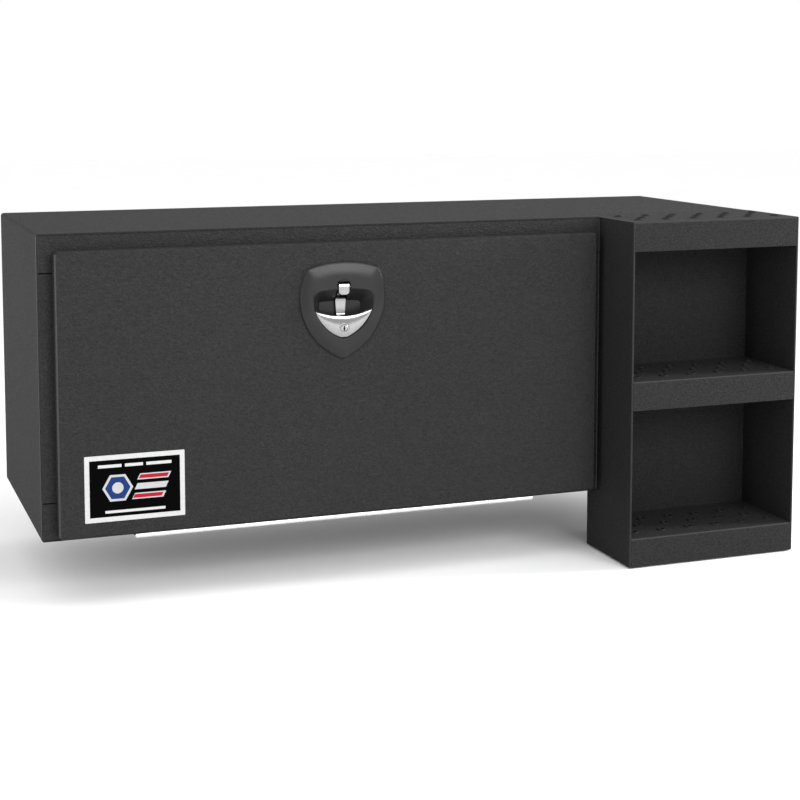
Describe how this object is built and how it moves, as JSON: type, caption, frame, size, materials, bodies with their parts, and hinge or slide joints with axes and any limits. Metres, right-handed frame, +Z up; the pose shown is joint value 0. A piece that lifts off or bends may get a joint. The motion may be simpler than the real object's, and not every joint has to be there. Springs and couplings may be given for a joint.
{
  "type": "truck tool box",
  "caption": "Side-mount truck tool box with a drop-down latched door, slotted door stays and a step tower with open treads at one end.",
  "frame": {"origin": "centre of the main box's back face, on the fixing bolts' plane", "axes": "+X along the box towards the step tower, +Y out of the back towards the truck, +Z up; the door faces -Y"},
  "size_m": [1.2192, 0.5334, 0.561],
  "materials": {
    "powder_coat": "textured matt powder coat",
    "stainless": "bright rolled",
    "zinc_plate": "zinc plated",
    "seal_rubber": "matt",
    "latch_black": "satin moulded",
    "handle_chrome": "polished",
    "label_print": "printed film"
  },
  "bodies": {
    "box": {"top_panel": "powder_coat", "bottom_panel": "powder_coat", "back_panel": "powder_coat", "left_end_panel": "powder_coat", "right_end_panel": "powder_coat", "notch_closure": "powder_coat", "header_channel": "powder_coat", "sill_channel": "powder_coat", "left_jamb": "powder_coat", "right_jamb": "powder_coat", "door_seal": "seal_rubber", "tower_left_side": "powder_coat", "tower_right_side": "powder_coat", "tower_back": "powder_coat", "tread_top": "powder_coat", "tread_middle": "powder_coat", "tread_bottom": "powder_coat", "hinge_frame_leaf": "stainless", "hinge_pin": "stainless", "hinge_rivets": "stainless", "strike_plate": "zinc_plate", "stay_bracket_left": "zinc_plate", "stay_bracket_right": "zinc_plate"},
    "door": {"door_outer_pan": "powder_coat", "door_inner_panel": "powder_coat", "label_plate": "label_print", "hinge_door_leaf": "stainless", "latch_bezel": "latch_black", "latch_gasket": "seal_rubber", "latch_dish": "latch_black", "handle_pin": "stainless", "handle_spring": "stainless", "latch_housing": "zinc_plate", "latch_screws": "zinc_plate", "stay_pivot_bracket_left": "zinc_plate", "stay_pivot_bracket_right": "zinc_plate"},
    "handle": {"paddle_handle": "handle_chrome", "lock_barrel": "handle_chrome"},
    "plug": {"lock_plug": "handle_chrome"},
    "bolt": {"latch_bolt": "zinc_plate"},
    "stay_left": {"stay_arm_left": "zinc_plate"},
    "stay_right": {"stay_arm_right": "zinc_plate"}
  },
  "joints": [
    {"name": "door_swing", "type": "hinge", "parent": "box", "child": "door", "pos_m": [-0.14815, -0.43525, -0.22625], "axis": [1, 0, 0], "range_deg": [0, 90]},
    {"name": "left_stay_turn", "type": "hinge", "parent": "door", "child": "stay_left", "pos_m": [-0.546, -0.40535, -0.07926], "axis": [1, 0, 0], "range_deg": [-45, 0]},
    {"name": "right_stay_turn", "type": "hinge", "parent": "door", "child": "stay_right", "pos_m": [0.2412, -0.40535, -0.07926], "axis": [1, 0, 0], "range_deg": [-45, 0]},
    {"name": "handle_pull", "type": "hinge", "parent": "door", "child": "handle", "pos_m": [-0.14815, -0.4361, 0.1331], "axis": [-1, 0, 0], "range_deg": [0, 30], "stiffness_Nm_per_rad": 0.2, "springref_deg": -20.05},
    {"name": "bolt_slide", "type": "slide", "parent": "door", "child": "bolt", "axis": [0, 0, 1], "range_m": [-0.012, 0]},
    {"name": "key_turn", "type": "hinge", "parent": "handle", "child": "plug", "pos_m": [-0.14815, -0.4477, 0.0711], "axis": [0, -1, 0], "range_deg": [0, 90]}
  ],
  "couplings": [
    {"joint": "left_stay_turn", "follows": "door_swing", "ratio": -0.5},
    {"joint": "right_stay_turn", "follows": "door_swing", "ratio": -0.5},
    {"joint": "bolt_slide", "follows": "handle_pull", "m_per_rad": -0.0229}
  ]
}
